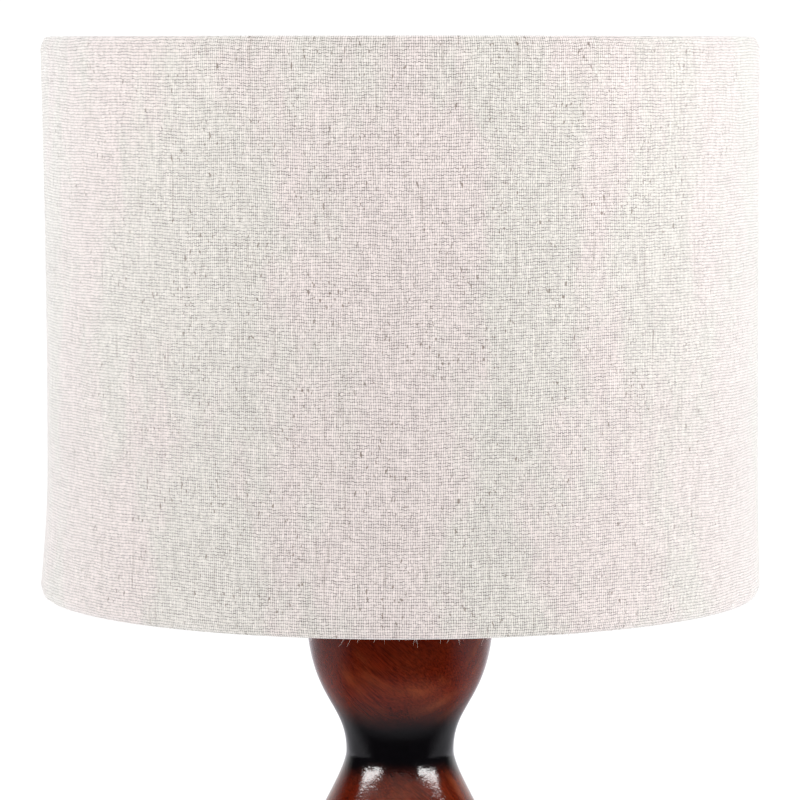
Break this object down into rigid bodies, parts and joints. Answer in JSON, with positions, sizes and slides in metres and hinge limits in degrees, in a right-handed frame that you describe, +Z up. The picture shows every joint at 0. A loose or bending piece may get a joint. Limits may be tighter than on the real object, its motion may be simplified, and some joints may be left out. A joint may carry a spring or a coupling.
{
  "type": "table lamp with shade",
  "caption": "Table lamp: a turned, lacquered wooden base with black shaded bands, a screw lampholder with a rotary switch, a bulb and a straight drum shade of woven fabric.",
  "frame": {"origin": "centre of the base on the surface that the lamp stands on", "axes": "+Z up along the lamp's axis, -Y the front, +Y the cord gland's side, +X the switch knob's side"},
  "size_m": [0.3074, 0.3074, 0.5303],
  "materials": {
    "felt": "matte felt",
    "stained_wood": "high gloss lacquer over red-brown stain, black shaded at the waists",
    "black_plastic": "satin",
    "zinc_steel": "zinc plated",
    "lamp_brass": "lacquered, satin",
    "contact_brass": "bright pressed sheet",
    "holder_ceramic": "glazed",
    "knob_phenolic": "moulded gloss",
    "coated_wire": "white epoxy coat",
    "liner_sheet": "matte white sheet",
    "shade_fabric": "plain linen weave",
    "bulb_cap_metal": "nickel bright",
    "bulb_plastic": "satin white",
    "bulb_opal": "opal diffuser"
  },
  "bodies": {
    "base": {"felt_pad": "felt", "foot": "stained_wood", "turned_body": "stained_wood", "cord_gland": "black_plastic", "threaded_rod": "zinc_steel", "bottom_washer": "zinc_steel", "bottom_nut": "zinc_steel", "vase_cap": "lamp_brass", "lock_nut": "lamp_brass", "holder_cap": "lamp_brass", "cap_lock_screw": "zinc_steel", "holder_body": "holder_ceramic", "terminal_screw_left": "lamp_brass", "terminal_screw_right": "zinc_steel", "centre_contact": "contact_brass", "screw_shell": "contact_brass", "holder_shell": "lamp_brass"},
    "switch": {"switch_stem": "lamp_brass", "switch_knob": "knob_phenolic"},
    "shade": {"fitter_ring": "coated_wire", "fitter_arm_1": "coated_wire", "fitter_arm_2": "coated_wire", "fitter_arm_3": "coated_wire", "lower_ring": "coated_wire", "upper_ring": "coated_wire", "shade_liner": "liner_sheet", "fabric_cover": "shade_fabric"},
    "ring_nut": {"ring_nut": "lamp_brass"},
    "bulb": {"bulb_tip": "zinc_steel", "bulb_insulator": "black_plastic", "bulb_screw_cap": "bulb_cap_metal", "bulb_neck": "bulb_plastic", "bulb_globe": "bulb_opal"}
  },
  "joints": [
    {"name": "switch_turn", "type": "hinge", "parent": "base", "child": "switch", "pos_m": [0.0333, 0, 0.3547], "axis": [1, 0, 0], "continuous": true},
    {"name": "shade_swivel", "type": "hinge", "parent": "base", "child": "shade", "pos_m": [0, 0, 0.3645], "axis": [0, 0, 1], "continuous": true},
    {"name": "ring_nut_turn", "type": "hinge", "parent": "base", "child": "ring_nut", "pos_m": [0, 0, 0.369], "axis": [0, 0, 1], "range_deg": [-20, 2160]},
    {"name": "bulb_turn", "type": "hinge", "parent": "base", "child": "bulb", "pos_m": [0, 0, 0.383], "axis": [0, 0, 1], "range_deg": [-20, 1260]}
  ]
}
